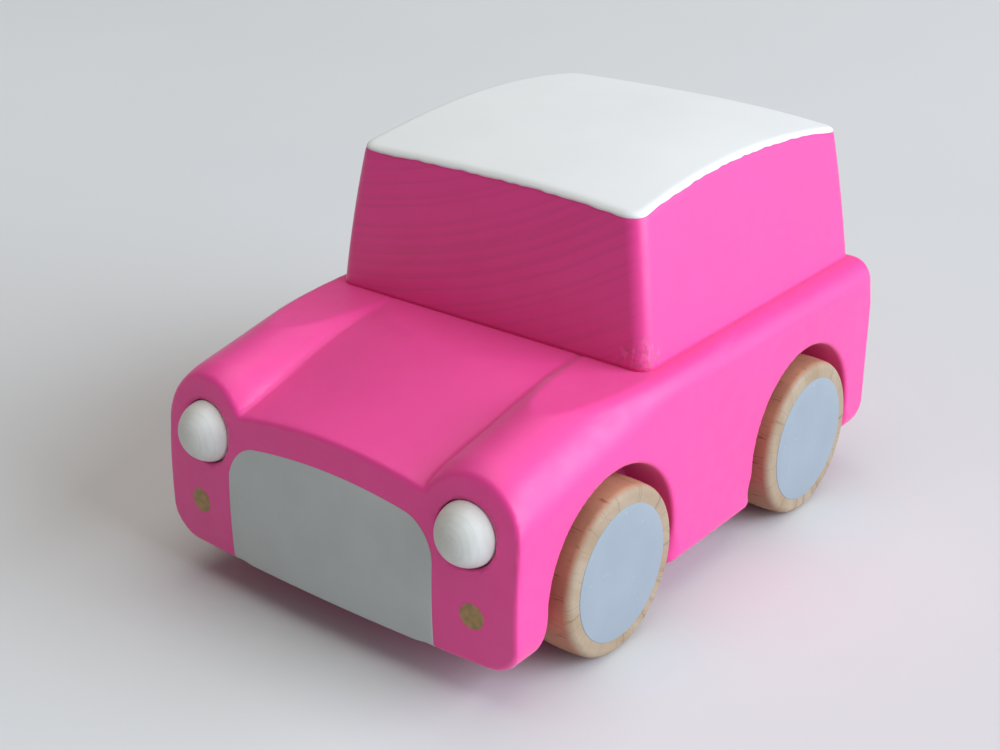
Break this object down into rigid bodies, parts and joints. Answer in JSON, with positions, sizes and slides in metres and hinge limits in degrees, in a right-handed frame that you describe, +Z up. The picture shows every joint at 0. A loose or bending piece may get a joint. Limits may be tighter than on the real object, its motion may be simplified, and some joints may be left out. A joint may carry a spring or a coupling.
{
  "type": "pull back car",
  "caption": "Wooden pull back car with a blocky body, crowned roof, round headlights and a spring motor that drives the rear wheels.",
  "frame": {"origin": "on the ground under the middle of the car's bounding box", "axes": "+X towards the car's front, +Y towards its left side, +Z up"},
  "size_m": [0.0998, 0.068, 0.0615],
  "materials": {
    "pink_painted_wood": "satin water-based paint over beech",
    "white_roof_paint": "matt paint film",
    "white_painted_wood": "matt paint over turned beech",
    "grey_print": "matt paint film",
    "gold_print": "matt paint film",
    "natural_beech": "bare oiled beech",
    "steel": "drawn rod and zinc-plated screws",
    "spring_steel": "blued spring strip",
    "white_nylon": "moulded nylon",
    "black_abs": "moulded, fine texture"
  },
  "bodies": {
    "car_body": {"lower_body": "pink_painted_wood", "cabin_block": "pink_painted_wood", "roof_paint": "white_roof_paint", "cabin_dowels": "natural_beech", "headlight_left": "white_painted_wood", "headlight_right": "white_painted_wood", "grille_print": "grey_print", "lamp_dots": "gold_print", "front_bush_left": "white_nylon", "front_bush_right": "white_nylon", "motor_case_left": "black_abs", "motor_case_right": "black_abs", "motor_mid_plate": "black_abs", "case_screws": "steel", "motor_screws": "steel", "idler_pin": "steel", "mainspring": "spring_steel"},
    "front_axle_set": {"front_axle": "steel", "wheel_front_left": "natural_beech", "wheel_front_right": "natural_beech", "wheel_print_front_left": "grey_print", "wheel_print_front_right": "grey_print"},
    "rear_axle_set": {"rear_axle": "steel", "axle_gear": "white_nylon", "wheel_rear_left": "natural_beech", "wheel_rear_right": "natural_beech", "wheel_print_rear_left": "grey_print", "wheel_print_rear_right": "grey_print"},
    "clutch_pinion_body": {"clutch_pinion": "white_nylon"},
    "idler_gear_body": {"idler_gear": "white_nylon"},
    "spring_gear_body": {"spring_gear": "white_nylon"}
  },
  "joints": [
    {"name": "front_axle_spin", "type": "hinge", "parent": "car_body", "child": "front_axle_set", "pos_m": [0.0241, 0, 0.01275], "axis": [0, 1, 0], "continuous": true},
    {"name": "rear_axle_spin", "type": "hinge", "parent": "car_body", "child": "rear_axle_set", "pos_m": [-0.0281, 0, 0.01275], "axis": [0, 1, 0], "continuous": true},
    {"name": "clutch_pinion_spin", "type": "hinge", "parent": "car_body", "child": "clutch_pinion_body", "pos_m": [-0.02535, 0, 0.01751], "axis": [0, 1, 0], "continuous": true},
    {"name": "idler_gear_spin", "type": "hinge", "parent": "car_body", "child": "idler_gear_body", "pos_m": [-0.01698, 0, 0.01604], "axis": [0, 1, 0], "continuous": true},
    {"name": "spring_gear_spin", "type": "hinge", "parent": "car_body", "child": "spring_gear_body", "pos_m": [-0.00698, 0, 0.01604], "axis": [0, 1, 0], "continuous": true, "deforming": ["mainspring"]}
  ],
  "couplings": [
    {"joint": "clutch_pinion_spin", "follows": "rear_axle_spin", "ratio": -1.2},
    {"joint": "idler_gear_spin", "follows": "rear_axle_spin", "ratio": 0.5},
    {"joint": "spring_gear_spin", "follows": "rear_axle_spin", "ratio": -0.16667}
  ]
}
